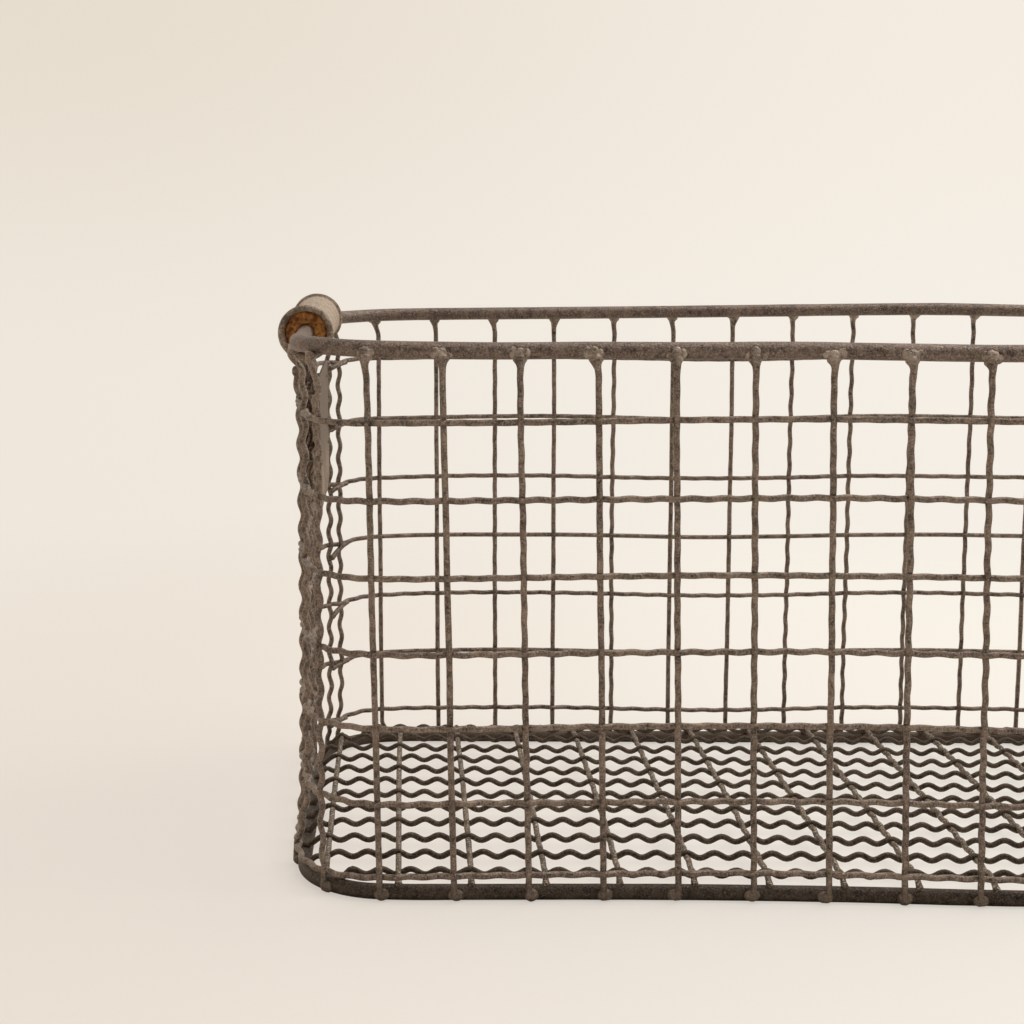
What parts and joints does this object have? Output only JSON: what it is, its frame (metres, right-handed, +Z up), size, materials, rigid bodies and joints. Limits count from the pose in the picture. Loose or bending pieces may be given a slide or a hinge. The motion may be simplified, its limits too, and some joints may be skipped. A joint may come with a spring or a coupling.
{
  "type": "wire locker basket",
  "caption": "Round-cornered wire mesh basket with a heavy rim rod and base ring, a woven wire floor, a turning tube grip at each short end and a blank number plate.",
  "frame": {"origin": "on the ground under the basket's centre", "axes": "+X along the basket towards its right grip, +Y from the front wall to the back wall, +Z up out of the mouth"},
  "size_m": [0.343, 0.205, 0.1986],
  "materials": {
    "rim_steel": "dark oxidised steel rod, matt, with lighter zinc worn through on its upper side",
    "base_steel": "dark oxidised steel rod, matt, mottled",
    "wall_wire": "crimped wire with dulled dark zinc, matt",
    "floor_wire": "crimped wire, darker and browner than the wall's",
    "cross_wire": "crimped wire with speckled pale zinc",
    "grip_zinc": "rough sandy-grey zinc over thin steel, darker at its rolled ends",
    "rusty_bush": "orange-brown rust",
    "plate_steel": "thin steel sheet, mottled brown and sandy"
  },
  "bodies": {
    "basket": {"rim_rod": "rim_steel", "base_ring": "base_steel", "wall_hoop_1": "wall_wire", "wall_hoop_2": "wall_wire", "wall_hoop_3": "wall_wire", "wall_hoop_4": "wall_wire", "wall_hoop_5": "wall_wire", "wall_hoop_6": "wall_wire", "wall_hoop_7": "wall_wire", "front_uprights": "wall_wire", "back_uprights": "wall_wire", "front_left_uprights": "wall_wire", "front_right_uprights": "wall_wire", "back_left_uprights": "wall_wire", "back_right_uprights": "wall_wire", "left_short_uprights": "wall_wire", "right_short_uprights": "wall_wire", "floor_long_wire_1": "floor_wire", "floor_long_wire_2": "floor_wire", "floor_long_wire_3": "floor_wire", "floor_long_wire_4": "floor_wire", "floor_long_wire_5": "floor_wire", "floor_long_wire_6": "floor_wire", "floor_long_wire_7": "floor_wire", "floor_long_wire_8": "floor_wire", "floor_long_wire_9": "floor_wire", "floor_long_wire_10": "floor_wire", "floor_long_wire_11": "floor_wire", "floor_long_wire_12": "floor_wire", "floor_cross_wire_1": "cross_wire", "floor_cross_wire_2": "cross_wire", "floor_cross_wire_3": "cross_wire", "floor_cross_wire_4": "cross_wire", "floor_cross_wire_5": "cross_wire", "floor_cross_wire_6": "cross_wire", "floor_cross_wire_7": "cross_wire", "floor_cross_wire_8": "cross_wire", "floor_cross_wire_9": "cross_wire", "floor_cross_wire_10": "cross_wire", "floor_cross_wire_11": "cross_wire", "floor_cross_wire_12": "cross_wire", "floor_cross_wire_13": "cross_wire", "number_plate": "plate_steel"},
    "left_grip": {"left_grip_tube": "grip_zinc", "left_front_bush": "rusty_bush", "left_back_bush": "rusty_bush"},
    "right_grip": {"right_grip_tube": "grip_zinc", "right_front_bush": "rusty_bush", "right_back_bush": "rusty_bush"}
  },
  "joints": [
    {"name": "left_grip_turn", "type": "hinge", "parent": "basket", "child": "left_grip", "pos_m": [-0.1616, 0, 0.1887], "axis": [0, 1, 0], "continuous": true},
    {"name": "right_grip_turn", "type": "hinge", "parent": "basket", "child": "right_grip", "pos_m": [0.1616, 0, 0.1887], "axis": [0, 1, 0], "continuous": true}
  ]
}
